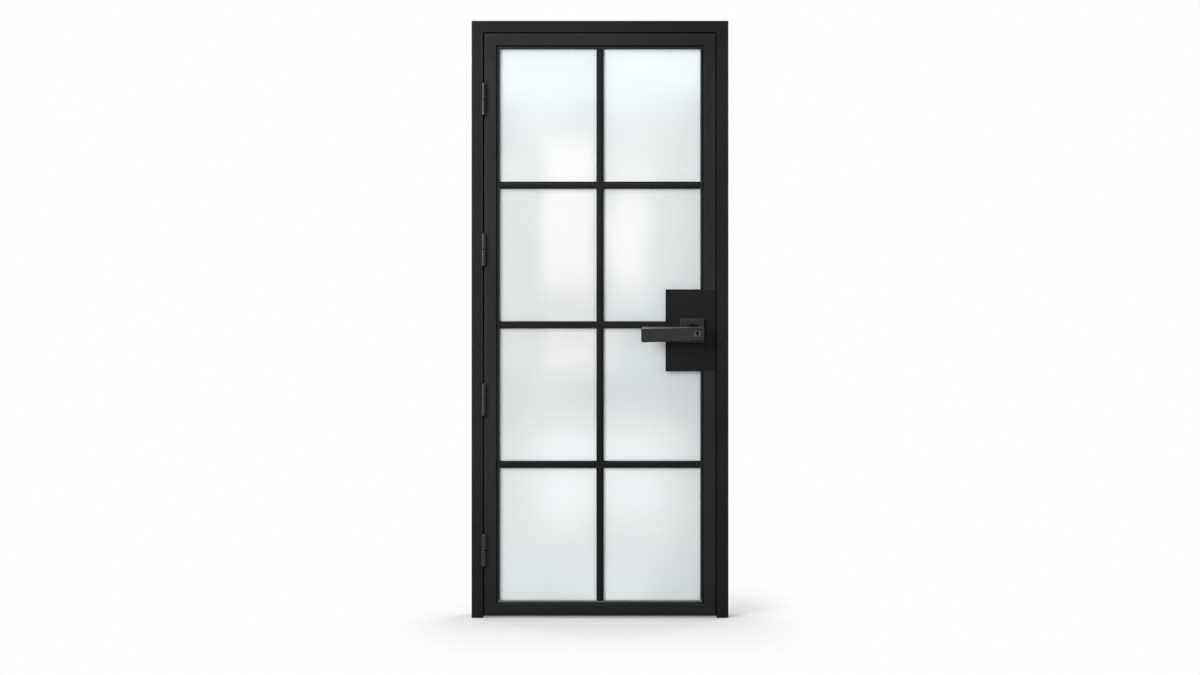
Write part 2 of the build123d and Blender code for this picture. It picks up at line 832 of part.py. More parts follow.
def plain_rose():
    """Square front rose, hollow behind, with a collar for the lever and two screw bosses."""
    inner_front = rose_front + rose_wall
    outline = Pos(spindle_x, spindle_height) * RectangleRounded(rose_side, rose_side, rose_round)
    rose = slab(outline, rose_front, leaf_front)
    rose = chamfer(rose.faces().sort_by(Axis.Y)[0].edges(), rose_bevel)
    half = rose_side / 2 - rose_wall
    rose -= block(
        spindle_x - half, spindle_x + half,
        inner_front, leaf_front + overrun,
        spindle_height - half, spindle_height + half,
    )
    bearing = spigot_radius + running_clearance
    rose += rod_y(spindle_x, spindle_height, inner_front - rose_wall / 2, leaf_front, bearing + rose_collar)
    for x in rose_screw_places():
        rose += rod_y(x, spindle_height, inner_front - rose_wall / 2, leaf_front, rose_boss)
    rose -= rod_y(spindle_x, spindle_height, rose_front - overrun, leaf_front + overrun, bearing)
    return only_solid(rose)


def rose_front_piece():
    """Front rose: blind threaded bosses, nothing shows on its face."""
    rose = plain_rose()
    bore = rose_screw + press_clearance
    for x in rose_screw_places():
        rose -= rod_y(x, spindle_height, leaf_front - rose_screw_grip, leaf_front + overrun, bore)
    return only_solid(rose)


def rose_rear_piece():
    """Rear rose: countersunk holes for the two screws."""
    rose = mirror(plain_rose(), about=Plane.XZ)
    face = -rose_front
    sink = rose_screw_head - rose_screw
    for x in rose_screw_places():
        rose -= rod_y(x, spindle_height, leaf_back - overrun, face + overrun, rose_screw + running_clearance)
        rose -= cone_y(x, spindle_height, face - sink, face, rose_screw, rose_screw_head)
    return only_solid(rose)


def rose_screws():
    """Two countersunk screws from the rear rose to the front one."""
    face = -rose_front
    sink = rose_screw_head - rose_screw
    screws = []
    tip = leaf_front - rose_screw_grip + running_clearance
    for x in rose_screw_places():
        screw = rod_y(x, spindle_height, tip, face - sink, rose_screw)
        head = cone_y(x, spindle_height, face - sink, face, rose_screw, rose_screw_head)
        screws.append(only_solid(screw + head))
    return screws


def plain_lever():
    """Front lever: bar with a tapering upper bevel, round neck and the spigot that turns in the rose."""
    tip_x = spindle_x - lever_tip_reach
    head_x = spindle_x + lever_head_reach
    top = spindle_height + lever_top
    outline = Polygon(
        (tip_x, top - lever_tip_height), (head_x, top - lever_head_height), (head_x, top), (tip_x, top)
    )
    outline = fillet(outline.vertices(), lever_round)
    plan = Polygon(
        (tip_x - overrun, lever_front),
        (head_x + overrun, lever_front),
        (head_x + overrun, lever_head_back),
        (spindle_x, lever_head_back),
        (tip_x - overrun, lever_front + lever_tip_thickness),
    )
    low = top - lever_tip_height - overrun
    bar = extrude(Plane.XY.offset(low) * plan, amount=lever_tip_height + 2 * overrun)
    bar &= slab(outline, lever_front - overrun, lever_head_back + overrun)
    bar = only_solid(bar)
    bar = chamfer(bar.faces().sort_by(Axis.Y)[0].edges(), lever_edge)
    upper = Plane(
        (tip_x, lever_front, top - lever_tip_bevel),
        z_dir=((lever_head_bevel - lever_tip_bevel) / (head_x - tip_x), -1, 1),
    )
    lower = Plane(
        (tip_x, lever_front, top - lever_tip_height + lever_lower_bevel),
        z_dir=((lever_tip_height - lever_head_height) / (head_x - tip_x), -1, -1),
    )
    for bevel in (upper, lower):
        bar = split(bar, bisect_by=bevel, keep=Keep.BOTTOM)
    neck_start = lever_head_back - lever_tip_thickness / 2
    neck_end = rose_front - neck_gap
    lever = bar + rod_y(spindle_x, spindle_height, neck_start, neck_end, neck_radius)
    spigot_end = leaf_front - spigot_setback
    lever += rod_y(spindle_x, spindle_height, neck_end, spigot_end, spigot_radius)
    socket = spindle_side + 2 * spindle_clearance
    lever -= square_bar(socket, -spindle_end() - spindle_clearance, spigot_end + overrun)
    return only_solid(lever)


def key_place():
    """Centre of the key cylinder in front view."""
    return spindle_x + key_offset_x, spindle_height + key_offset_z


def lever_front_piece():
    """Front lever, bored for the key cylinder."""
    bottom = lever_front + key_housing_depth
    bore = rod_y(*key_place(), lever_front - overrun, bottom, key_housing_radius + press_clearance)
    return only_solid(plain_lever() - bore)


def key_housing():
    """Ring pressed into the lever, in which the plug turns."""
    back = lever_front + key_housing_depth
    bore = key_plug_radius + running_clearance
    ring = rod_y(*key_place(), lever_front, back, key_housing_radius)
    return only_solid(ring - rod_y(*key_place(), lever_front - overrun, back + overrun, bore))


def key_plug():
    """Turning plug with an upright keyway and a short cross notch above its middle."""
    front = lever_front + key_plug_recess
    back = lever_front + key_housing_depth - running_clearance
    x, z = key_place()
    plug = rod_y(x, z, front, back, key_plug_radius)
    bottom = front + keyway_depth
    plug -= block(
        x - keyway_width / 2, x + keyway_width / 2,
        front - overrun, bottom,
        z - keyway_height / 2, z + keyway_height / 2,
    )
    notch_bottom = z + keyway_notch_rise - keyway_notch_height / 2
    plug -= block(
        x - keyway_notch / 2, x + keyway_notch / 2,
        front - overrun, bottom,
        notch_bottom, notch_bottom + keyway_notch_height,
    )
    return only_solid(plug)


def save(name, *solids):
    """Writes one node's solids to its own file."""
    shape = solids[0] if len(solids) == 1 else Compound(list(solids))
    export_step(shape, os.path.join("parts", name + ".step"))


def main():
    """Builds every node and writes it."""
    os.makedirs("parts", exist_ok=True)
    save("hinge_jamb", plain_jamb())
    save("strike_jamb", strike_jamb())
    save("frame_head", header(frame_section()))
    seal = upright(seal_section())
    save("hinge_jamb_seal", seal)
    save("strike_jamb_seal", mirror(seal, about=Plane.YZ))
    save("head_seal", header(seal_section()))
    save("strike_plate", strike_plate())
    save("strike_dust_box", dust_box())
    for number, height in enumerate(hinge_heights, start=1):
        save(f"jamb_knuckle_{number}", jamb_knuckle(height))
        save(f"leaf_knuckle_{number}", leaf_knuckle(height))
    save("hinge_pins", *[only_solid(pin) for pin in hinge_pins()])
    save("hinge_washers", *[only_solid(washer) for washer in hinge_washers()])
    save("hinge_stile", hinge_stile())
    upper, lower = lock_stiles()
    save("lock_stile_upper", upper)
    save("lock_stile_lower", lower)
    save("top_rail", top_rail())
    save("bottom_rail", bottom_rail())
    save("upright_bar", upright_bar())
    for number, height in enumerate(cross_bar_heights, start=1):
        save(f"cross_bar_{number}", cross_bar(height))
    for column, side in enumerate(("left", "right")):
        for row in range(pane_rows):
            save(f"pane_{side}_{row + 1}", pane(column, row))
            save(f"beads_{side}_{row + 1}", *beads(column, row))
    save("glazing_gaskets", *[only_solid(ring) for ring in glazing_gaskets()])
    save("lock_box", lock_box())
    save("forend", forend())
    save("lock_case", lock_case())
    save("lock_cover", lock_cover())
    save("follower", follower())
    save("latch_bolt", latch_bolt())
    save("latch_spring", latch_spring())
    save("spindle", only_solid(spindle()))
    save("rose_front", rose_front_piece())
    save("rose_rear", rose_rear_piece())
    save("rose_screws", *rose_screws())
    save("lever_front", lever_front_piece())
    save("lever_rear", only_solid(mirror(plain_lever(), about=Plane.XZ)))
    save("key_housing", key_housing())
    save("key_plug", key_plug())


main()
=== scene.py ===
# %% [markdown]
# # A glass door in its frame
#
# The door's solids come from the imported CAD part: a steel frame, a leaf with eight frosted panes, four
# hinges, a lock and two levers. Blender adds what CAD doesn't hold: finishes, small screws, a floor,
# light and a camera. This lesson builds those up one step at a time, and each cell prints what it made.

import json
import math

import bmesh
import bpy
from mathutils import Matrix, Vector


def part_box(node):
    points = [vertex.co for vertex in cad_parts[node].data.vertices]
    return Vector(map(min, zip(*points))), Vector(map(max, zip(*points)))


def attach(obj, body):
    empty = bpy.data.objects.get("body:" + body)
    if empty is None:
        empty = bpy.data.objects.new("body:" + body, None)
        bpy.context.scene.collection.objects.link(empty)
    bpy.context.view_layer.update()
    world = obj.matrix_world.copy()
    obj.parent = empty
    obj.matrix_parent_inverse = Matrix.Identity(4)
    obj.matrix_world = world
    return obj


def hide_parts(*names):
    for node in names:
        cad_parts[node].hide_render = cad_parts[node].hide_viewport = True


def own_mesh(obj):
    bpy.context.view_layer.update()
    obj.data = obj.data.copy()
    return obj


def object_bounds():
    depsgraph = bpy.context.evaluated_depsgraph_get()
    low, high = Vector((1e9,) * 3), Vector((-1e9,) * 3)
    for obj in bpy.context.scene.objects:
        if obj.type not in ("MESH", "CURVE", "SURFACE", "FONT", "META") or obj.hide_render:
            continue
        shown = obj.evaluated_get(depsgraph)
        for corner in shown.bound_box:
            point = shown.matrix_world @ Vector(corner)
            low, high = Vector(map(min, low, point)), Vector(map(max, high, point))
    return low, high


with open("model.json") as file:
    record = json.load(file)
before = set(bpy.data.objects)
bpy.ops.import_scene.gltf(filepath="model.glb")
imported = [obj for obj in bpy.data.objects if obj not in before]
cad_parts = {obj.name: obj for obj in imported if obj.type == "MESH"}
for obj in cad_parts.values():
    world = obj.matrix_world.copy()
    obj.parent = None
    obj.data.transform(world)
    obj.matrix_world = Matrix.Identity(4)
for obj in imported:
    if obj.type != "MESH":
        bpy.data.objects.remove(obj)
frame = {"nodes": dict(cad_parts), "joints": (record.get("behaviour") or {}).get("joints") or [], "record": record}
cad_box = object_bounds()
nodes = frame["nodes"]
scene = bpy.context.scene
print("pieces from CAD:", len(nodes), "box", [round(v, 3) for corner in cad_box for v in corner])

# %% [markdown]
# ## Camera
#
# The photograph looks straight at the door: upright lines stay upright and the door fills the same
# share of the picture at head and foot. So the camera is level, on the door's middle line, at the height
# where the picture's middle falls. Only the distance is free. Six metres keeps the lever from growing
# against the leaf behind it, and the lens then follows from the width that the picture covers.

# %% Camera
PICTURE_WIDTH = 4.287      # metres across the picture, in the plane of the leaf's face
CAMERA_HEIGHT = 1.002
CAMERA_DISTANCE = 6.0
SENSOR = 36.0

camera_data = bpy.data.cameras.new("camera")
camera_data.sensor_width = SENSOR
camera_data.lens = SENSOR * CAMERA_DISTANCE / PICTURE_WIDTH
camera = bpy.data.objects.new("camera", camera_data)
leaf_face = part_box("lock_box")[0].y
camera.location = (0, leaf_face - CAMERA_DISTANCE, CAMERA_HEIGHT)
camera.rotation_euler = (math.radians(90), 0, 0)
scene.collection.objects.link(camera)
scene.camera = camera
scene.view_settings.view_transform = "Standard"
print("lens", round(camera_data.lens, 1), "mm at", CAMERA_DISTANCE, "m")

# %% [markdown]
# ## A class for shader sums
#
# A shader is a graph of nodes, and a sum such as `1 - mask * 0.4` is three of them. Wrapping a socket in
# a small class lets Python's own signs add those nodes. One method, `node`, makes every other kind.

# %% Wire


class Wire:
    """A node's output that can stand in a Python sum."""

    def __init__(self, tree, socket=None):
        self.tree = tree
        self.socket = socket

    def node(self, kind, settings=None, inputs=None, out=0):
        """Makes a node, sets it up, fills its inputs with numbers or wires, and returns one output."""
        made = self.tree.nodes.new(kind)
        for key, value in (settings or {}).items():
            setattr(made, key, value)
        for key, value in (inputs or {}).items():
            if isinstance(value, Wire):
                self.tree.links.new(value.socket, made.inputs[key])
            else:
                made.inputs[key].default_value = value
        return Wire(self.tree, None if out is None else made.outputs[out])

    def sum(self, operation, a, b=0.0):
        return self.node("ShaderNodeMath", {"operation": operation}, {0: a, 1: b})

    def __add__(self, other): return self.sum("ADD", self, other)
    def __radd__(self, other): return self.sum("ADD", other, self)
    def __sub__(self, other): return self.sum("SUBTRACT", self, other)
    def __rsub__(self, other): return self.sum("SUBTRACT", other, self)
    def __mul__(self, other): return self.sum("MULTIPLY", self, other)
    def __rmul__(self, other): return self.sum("MULTIPLY", other, self)
    def __truediv__(self, other): return self.sum("DIVIDE", self, other)
    def __rtruediv__(self, other): return self.sum("DIVIDE", other, self)
    def __pow__(self, other): return self.sum("POWER", self, other)
    def __rpow__(self, other): return self.sum("POWER", other, self)

    def ramp(self, low, high):
        """0 at low, 1 at high, and smooth between them. Low may also be the larger of the two."""
        return self.node("ShaderNodeMapRange", {"interpolation_type": "SMOOTHSTEP"},
                         {0: self, 1: low, 2: high, 3: 0.0, 4: 1.0})

    def mix(self, first, second):
        """The colour that lies this share of the way from the first to the second."""
        return self.node("ShaderNodeMix", {"data_type": "RGBA"}, {0: self, 6: first, 7: second}, out=2)


def grey(value, warm=0.0):
    """A grey as red, green, blue and alpha, a touch warmer or cooler than neutral."""
    return (value * (1 + warm), value, value * (1 - warm), 1.0)


print("shader sums ready")

# %% [markdown]
# ## A finish to start from
#
# Every finish here is a Principled surface. The helper makes one, sets the numbers that are the same
# all over on its own sockets, and hands back the object's coordinates, on which all patterns are drawn.
# A node's coordinates are the door's own, in metres, so a grain of 1 mm is a noise of scale 1000.

# %% New finish


def new_finish(name, **constants):
    """An empty Principled material, its shader node and a wire with the object's coordinates."""
    material = bpy.data.materials.new(name)
    material.use_nodes = True
    tree = material.node_tree
    shader = tree.nodes["Principled BSDF"]
    for key, value in constants.items():
        shader.inputs[key.replace("_", " ").title().replace("Ior", "IOR")].default_value = value
    coordinates = Wire(tree).node("ShaderNodeTexCoord", out="Object")
    return material, shader, coordinates


def join(shader, **wires):
    """Links wires to the shader's sockets."""
    for key, wire in wires.items():
        wire.tree.links.new(wire.socket, shader.inputs[key.replace("_", " ").title()])


def noise(at, scale, detail=2.0, stretch=None):
    """Soft noise from 0 to 1, drawn out along an axis where a stretch is given."""
    if stretch:
        at = at.node("ShaderNodeMapping", None, {"Vector": at, "Scale": stretch})
    return at.node("ShaderNodeTexNoise", None, {"Vector": at, "Scale": scale, "Detail": detail})


def along(wire, axis):
    """One part of a vector: its X, Y or Z."""
    return wire.node("ShaderNodeSeparateXYZ", None, {0: wire}, out=axis)


def dress_nodes(names, material):
    """Gives a finish to CAD nodes."""
    for name in names:
        nodes[name].material_slots[0].material = material
    print(material.name, "on", len(names), "nodes")


def dress(slot, material):
    """Gives a finish to every CAD node of one of the record's material slots."""
    subparts = frame["record"]["subparts"]
    dress_nodes([part["node"] for part in subparts if part["material_slot"] == slot], material)


# %% [markdown]
# ## Edges that catch light
#
# No real edge is sharp, and sharp CAD edges catch no light. They could be bevelled in the mesh, but the
# Bevel node rounds only the shading, so the shape stays as it is. It also draws the thin seams where two
# mitred lengths meet. Outer edges are painted a little paler: partly wear, where a finish is thin, and partly
# a painted highlight, where an edge would catch light. Where the rounded direction and the flat one part,
# there is an edge, and the open air around it tells an outer edge from a corner.

# %% Worn edges and painted edge highlights
EDGE_SAMPLES = 4
WEAR_AND_GLINT_WIDTH = 0.0028
EDGE_TURN = (0.02, 0.25)   # how far the rounded direction has to part from the flat one
EDGE_AIR = (0.75, 0.98)    # how open the air has to be


def edge_wear_and_glint(at):
    """1 along the outer edges of a piece, where a finish thins and a highlight is painted, and 0 on its flats and
    in its corners.
    """
    flat = at.node("ShaderNodeNewGeometry", out="Normal")
    rounded = at.node("ShaderNodeBevel", {"samples": EDGE_SAMPLES}, {"Radius": WEAR_AND_GLINT_WIDTH})
    same = at.node("ShaderNodeVectorMath", {"operation": "DOT_PRODUCT"}, {0: flat, 1: rounded}, out="Value")
    open_air = at.node("ShaderNodeAmbientOcclusion", {"samples": EDGE_SAMPLES, "only_local": True},
                       {"Distance": WEAR_AND_GLINT_WIDTH}, out="AO")
    return (1 - same).ramp(*EDGE_TURN) * open_air.ramp(*EDGE_AIR)


print("edges wear over", WEAR_AND_GLINT_WIDTH * 1000, "mm")

# %% [markdown]
# ## Black powder coat
#
# The steel is sprayed with dry powder and baked. Close up, the film has a faint orange peel about a
# millimetre across, its shade drifts a little from place to place, and fine dust settles on what faces
# up. A picture of paint could be wrapped round each piece, but it would show seams and repeats. Noise on
# the object's coordinates has neither. One function makes every paint, and what differs is an argument.

# %% Powder coat
PEEL_SCALE, DRIFT_SCALE, RUB_SCALE = 700.0, 2.3, 40.0
DRIFT_RANGE, RUB_RANGE = (0.32, 0.68), (0.42, 0.72)   # the part of each noise that is drawn
PEEL_DEPTH, PEEL_STRENGTH = 0.0003, 0.5
PEEL_ROUGH, RUB_ROUGH, DUST_ROUGH = 0.16, 0.05, 0.2   # how much each changes the roughness
SHADE_DRIFT = 0.14         # how far the shade wanders to either side
DARK_TINT, PALE_TINT, WORN_AND_GLINT_TINT = -0.06, -0.05, -0.04
# Edges are paler for wear and as a painted highlight
WORN_AND_GLINT_PAINT = 4.0           # how much paler the paint is on an edge
WEAR_AND_GLINT_SHARE, WEAR_AND_GLINT_RUBS = 0.6, 0.4
DUST = grey(0.085, 0.02)
DUST_SHARE, DUST_RUBS = 0.30, 0.14
FACES_UP = (0.55, 1.0)     # how far a face has to look up for dust to stay on it
SEALANT = (0.016, 0.018, 0.020, 1.0)
# The sealant's foot is paler: painted light from above on its upward face
SEALANT_PAINTED_LIT = (0.075, 0.083, 0.090, 1.0)
SEALANT_EDGE = 0.0003
LIP_WIDTH = 0.0065
CLEAR_ROUGH = 0.08


def powder_coat(name, shade, rough, shine=0.10, edge=0.0009, shade_by_height=(), lip=None, clear=None):
    """Satin black paint with orange peel, slow drift of shade, dust on ledges, soft paler edges and painted shade.

    Each painted shade by height is two heights and the share of the paint's brightness lost between them:
    painted shade where the light falls off. A lip is given by its half width, foot and head: what lies within
    them is a slate sealant, paler along its foot with painted light from above.
    Clear is the two heights between which a glossy clear coat comes in, and how much of it.
    """
    material, shader, at = new_finish(name, specular_ior_level=shine, coat_roughness=CLEAR_ROUGH)
    z = along(at, "Z")
    peel = noise(at, PEEL_SCALE)
    drift = noise(at, DRIFT_SCALE, 3.0).ramp(*DRIFT_RANGE)
    rubs = noise(at, RUB_SCALE, 4.0).ramp(*RUB_RANGE)
    normal = at.node("ShaderNodeNewGeometry", out="Normal")
    dust = along(normal, "Z").ramp(*FACES_UP) * (DUST_SHARE + rubs * DUST_RUBS)
    dark, pale = shade * (1 - SHADE_DRIFT), shade * (1 + SHADE_DRIFT)
    paint = drift.mix(grey(dark, DARK_TINT), grey(pale, PALE_TINT))
    # Paler edges: wear, and a painted highlight where edges catch light
    worn_and_glint = edge_wear_and_glint(at) * (WEAR_AND_GLINT_SHARE + rubs * WEAR_AND_GLINT_RUBS)
    paint = worn_and_glint.mix(paint, grey(shade * WORN_AND_GLINT_PAINT, WORN_AND_GLINT_TINT))
    # Painted shade: the paint darkens between two heights where the light falls off
    for start, end, share in shade_by_height:
        paint = (share * z.ramp(start, end)).mix(paint, grey(0.0))
    if lip:
        half_width, foot, head = lip
        x = at.sum("ABSOLUTE", along(at, "X"))
        inside = (1 - x.ramp(half_width, half_width + SEALANT_EDGE)) * z.ramp(foot - SEALANT_EDGE, foot)
        inside = inside * (1 - z.ramp(head, head + SEALANT_EDGE))
        # Painted light: the sealant is paler along the foot of the lip
        sealant = z.ramp(foot + LIP_WIDTH, foot + 2 * LIP_WIDTH).mix(SEALANT_PAINTED_LIT, SEALANT)
        paint = inside.mix(paint, sealant)
    if clear:
        start, end, weight = clear
        join(shader, coat_weight=weight * z.ramp(start, end))
    soft = at.node("ShaderNodeBevel", {"samples": EDGE_SAMPLES}, {"Radius": edge})
    relief = at.node("ShaderNodeBump", None,
                     {"Strength": PEEL_STRENGTH, "Distance": PEEL_DEPTH, "Height": peel, "Normal": soft})
    join(shader, base_color=dust.mix(paint, DUST), normal=relief,
         roughness=rough + (peel - 0.5) * PEEL_ROUGH + rubs * RUB_ROUGH + dust * DUST_ROUGH)
    return material


print("powder coat ready")

# %% [markdown]
# ## Paint on each group of pieces
#
# In the photograph the black steel is palest in its upper half, and darker at the head and towards the
# foot. Lamps could do that, but they would shade the glass as well, so that fall of light is painted into
# the paint as shade, near the head and towards the foot. A slate sealant runs along the leaf's lip beside
# the glass, paler at its foot with painted light from above. The hinge barrels shine more than the frame,
# and the lower ones keep more of their clear coat.

# %% Painted steel
# Painted shade by height for each group of pieces
FRAME_PAINTED_SHADE = ((1.98, 2.10, 0.26), (0.80, 0.20, 0.14))
LEAF_PAINTED_SHADE = ((1.93, 2.03, 0.25), (0.80, 0.25, 0.14), (0.16, 0.06, 0.20))
BAR_PAINTED_SHADE = ((1.30, 0.60, 0.24),)
HINGE_CLEAR = (1.75, 1.45, 0.40)
lip = (LIP_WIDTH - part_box("hinge_stile")[1].x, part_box("bottom_rail")[1].z - LIP_WIDTH,
       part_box("top_rail")[0].z + LIP_WIDTH)
dress("frame_paint", powder_coat("frame_paint", shade=0.0086, rough=0.46, shade_by_height=FRAME_PAINTED_SHADE))
dress("leaf_paint", powder_coat("leaf_paint", shade=0.0144, rough=0.44, shade_by_height=LEAF_PAINTED_SHADE, lip=lip))
dress("bar_paint", powder_coat("bar_paint", shade=0.0112, rough=0.48, shine=0.06, shade_by_height=BAR_PAINTED_SHADE))
dress("hinge_paint", powder_coat("hinge_paint", shade=0.0026, rough=0.14, shine=0.26, edge=0.0006,
                                  clear=HINGE_CLEAR))
dress_nodes(["lock_box"], powder_coat("lock_box_paint", shade=0.0105, rough=0.46, shine=0.05))

# %% [markdown]
# ## Frosted glass
#
# Acid-etched glass scatters what passes through it, so nothing behind has an outline, and it takes
# shadows on its face as paper does. One Principled surface does both: part of it transmits through a
# rough skin, and the rest is a pale diffuse white. The room behind shows only as slow patches of brighter
# and greyer light, such as a window and a pale floor. Real things behind the door would need a whole room,
# so light and shade are painted into the glass's colour: a few soft-edged boxes of painted light and
# painted shade, drawn across all eight panes, and painted light that changes with height.

# %% Frosted glass
CLOUD_SCALE, ETCH_SCALE = 2.6, 1400.0
CLOUD_SHIFT, CLOUD_LEVEL = 0.12, 0.04   # metres by which the cloud bends soft edges, and its own light
ETCH_DEPTH, ETCH_STRENGTH = 0.0001, 0.3
GLASS_ROUGH, ETCH_ROUGH = 0.5, 0.16
GLASS_LEVEL = 0.80
GLASS_THROUGH, GLASS_IOR = 0.45, 1.46   # the share that passes light, and how it bends it
# Painted light by height: the glass is brighter or darker between two heights
PAINTED_LIGHT_BY_HEIGHT = (((0.45, 1.15), -0.12), ((1.30, 1.95), 0.085))   # two heights, and the change between them
COOL = (0.945, 1.0, 1.02, 1.0)
PLAIN = (0.966, 1.0, 1.008, 1.0)
WARM = (0.99, 1.0, 0.985, 1.0)
# Painted light and shade of what stands behind the glass: soft edges at its left, right, foot and head,
# and how much it lightens, below zero where it is painted shade. A window's painted light is warm as well,
# and the cool parts have a painted cool tint alone.
PAINTED_WINDOW_LIGHT = (
    ((-0.25, -0.17), (-0.05, 0.02), (1.02, 1.25), (1.62, 1.78), 0.115),
    ((-0.06, 0.10), (0.12, 0.23), (1.04, 1.28), (1.40, 1.75), 0.115),
    ((-0.25, -0.17), (-0.04, 0.14), (0.82, 0.95), (1.03, 1.10), 0.085),
)
PAINTED_COOL_LIGHT = (
    (None, None, (1.65, 1.90), None),
    ((0.00, 0.08), None, (0.70, 0.85), (1.10, 1.25)),
    (None, None, None, (0.08, 0.32)),
)
PAINTED_ROOM_LIGHT_AND_SHADE = (
    ((-0.10, 0.20), None, (0.7, 1.3), None, 0.05),
    ((-0.34, -0.10), (0.16, 0.36), (0.22, 0.48), (0.56, 0.80), 0.08),
    ((-0.20, 0.03), (0.10, 0.22), None, (0.08, 0.28), 0.06),
    ((-0.25, 0.05), None, (1.86, 2.02), None, 0.045),
    (None, None, (0.58, 0.76), (0.82, 0.95), -0.035),
    (None, (-0.30, -0.18), (0.58, 0.76), (0.82, 0.95), -0.03),
    (None, (-0.34, -0.16), (0.08, 0.30), (0.60, 0.90), -0.04),
    (None, (-0.34, -0.20), (1.60, 1.74), (1.80, 1.92), -0.05),
    ((0.22, 0.32), None, None, (1.75, 1.95), -0.025),
    (None, None, (1.56, 1.68), (1.80, 1.92), -0.032),
)


def soft_box(x, z, left, right, foot, head):
    """1 inside soft edges and 0 outside. A side that has no edge stays open."""
    share = 1.0
    for wire, edge in ((x, left), (z, foot)):
        share = share * wire.ramp(*edge) if edge else share
    for wire, edge in ((x, right), (z, head)):
        share = share * (1 - wire.ramp(*edge)) if edge else share
    return share


def frosted_glass():
    """Etched glass with painted light and shade: cool where it is dim and a touch warm where light comes through.
    """
    material, shader, at = new_finish("frosted_glass", transmission_weight=GLASS_THROUGH, ior=GLASS_IOR)
    cloud = noise(at, CLOUD_SCALE, 1.0) - 0.5
    x, z = along(at, "X") + CLOUD_SHIFT * cloud, along(at, "Z") + CLOUD_SHIFT * cloud
    level = GLASS_LEVEL + CLOUD_LEVEL * cloud
    # Painted light and shade: by height, then by the soft boxes of the room behind
    for heights, change in PAINTED_LIGHT_BY_HEIGHT:
        level = level + change * z.ramp(*heights)
    tone = PLAIN
    for edges in PAINTED_COOL_LIGHT:
        tone = soft_box(x, z, *edges).mix(tone, COOL)
    for *edges, strength in PAINTED_WINDOW_LIGHT:
        window = soft_box(x, z, *edges)
        level = level + strength * window
        tone = window.mix(tone, WARM)
    for *edges, strength in PAINTED_ROOM_LIGHT_AND_SHADE:
        level = level + strength * soft_box(x, z, *edges)
    tint = level.mix(grey(0.0), tone)
    etch = noise(at, ETCH_SCALE)
    relief = at.node("ShaderNodeBump", None,
                     {"Strength": ETCH_STRENGTH, "Distance": ETCH_DEPTH, "Height": etch})
    join(shader, base_color=tint, roughness=GLASS_ROUGH + etch * ETCH_ROUGH, normal=relief)
    return material


dress("frosted_glass", frosted_glass())

# %% [markdown]
# ## Handle, cylinder and lock metals
#
# The levers and roses are dark satin metal. A satin finish is made with an abrasive belt, which leaves
# fine lines along its travel, so the noise is drawn out along the lever. The same recipe with other
# numbers gives the key cylinder, the steel of the lock and the hinge pins.

# %% Satin metal
SMEAR_SCALE = 22.0
SMEAR_RANGE = (0.3, 0.7)
BELT_SHARE = 0.7           # the rest of the pattern is smears
BELT_ROUGH, SMEAR_ROUGH = 0.2, 0.08
SHADE_SPREAD = 0.32
METAL_SHINE = 0.24
LINE_DEPTH, LINE_STRENGTH = 0.0001, 0.4
# Edges of the metal are paler for wear and as a painted highlight
WORN_AND_GLINT_METAL = 2.2           # how much paler the metal is on an edge
SMEAR_WEAR_AND_GLINT = 0.5           # how much the smears break that up
BLACK_EDGE = 0.0003
BLACK_ROUGH = 0.95


def satin_metal(name, shade, rough, metallic, lines, edge=0.0006, black=None):
    """Metal with belt lines: brightness, gloss and relief all follow the same drawn-out noise.

    It can be blackened round an axis through the leaf as painted shade, as the shadowed neck of a lever is:
    the axis is given by its x and z, then a radius, the two distances from the leaf's middle and the shade.
    """
    material, shader, at = new_finish(name, metallic=metallic, specular_ior_level=METAL_SHINE)
    belt = noise(at, 1.0, 3.0, lines)
    smear = noise(at, SMEAR_SCALE, 3.0).ramp(*SMEAR_RANGE)
    pattern = belt * BELT_SHARE + smear * (1 - BELT_SHARE)
    tone = pattern.mix(grey(shade * (1 - SHADE_SPREAD)), grey(shade * (1 + SHADE_SPREAD)))
    # Paler edges: wear, and a painted highlight where edges catch light
    worn_and_glint = edge_wear_and_glint(at) * (1 - SMEAR_WEAR_AND_GLINT + smear * SMEAR_WEAR_AND_GLINT)
    tone = worn_and_glint.mix(tone, grey(shade * WORN_AND_GLINT_METAL))
    # Painted shade: black in the shadowed neck and inside the key slot
    if black:
        axis_x, axis_z, radius, near, far, dark = black
        across, upward = along(at, "X") - axis_x, along(at, "Z") - axis_z
        depth = at.sum("ABSOLUTE", along(at, "Y"))
        from_axis = (across * across + upward * upward) ** 0.5
        inside = 1 - from_axis.ramp(radius, radius + BLACK_EDGE)
        inside = inside * depth.ramp(near - BLACK_EDGE, near) * (1 - depth.ramp(far - BLACK_EDGE, far))
        tone = inside.mix(tone, grey(dark))
        rough = rough + inside * (BLACK_ROUGH - rough)
        join(shader, metallic=metallic + inside * (1 - metallic))
    soft = at.node("ShaderNodeBevel", {"samples": EDGE_SAMPLES}, {"Radius": edge})
    relief = at.node("ShaderNodeBump", None,
                     {"Strength": LINE_STRENGTH, "Distance": LINE_DEPTH, "Height": belt, "Normal": soft})
    join(shader, base_color=tone, normal=relief,
         roughness=rough + (belt - 0.5) * BELT_ROUGH + smear * SMEAR_ROUGH)
    return material


print("satin metal ready")

# %% [markdown]
# ## Metal on each group of pieces
#
# The belt runs along a lever and up and down a rose. A noise that is fine across and coarse along gives
# its lines. The lever's neck and the inside of the key slot are painted black as painted shade, where
# shadow falls. Those are places on a piece and not pieces of their own, so the finish finds them by their
# distance from an axis.

# %% Handles and steels
ALONG_X = (60.0, 1600.0, 1600.0)
ALONG_Z = (1600.0, 1600.0, 60.0)
EVEN = (900.0, 900.0, 900.0)
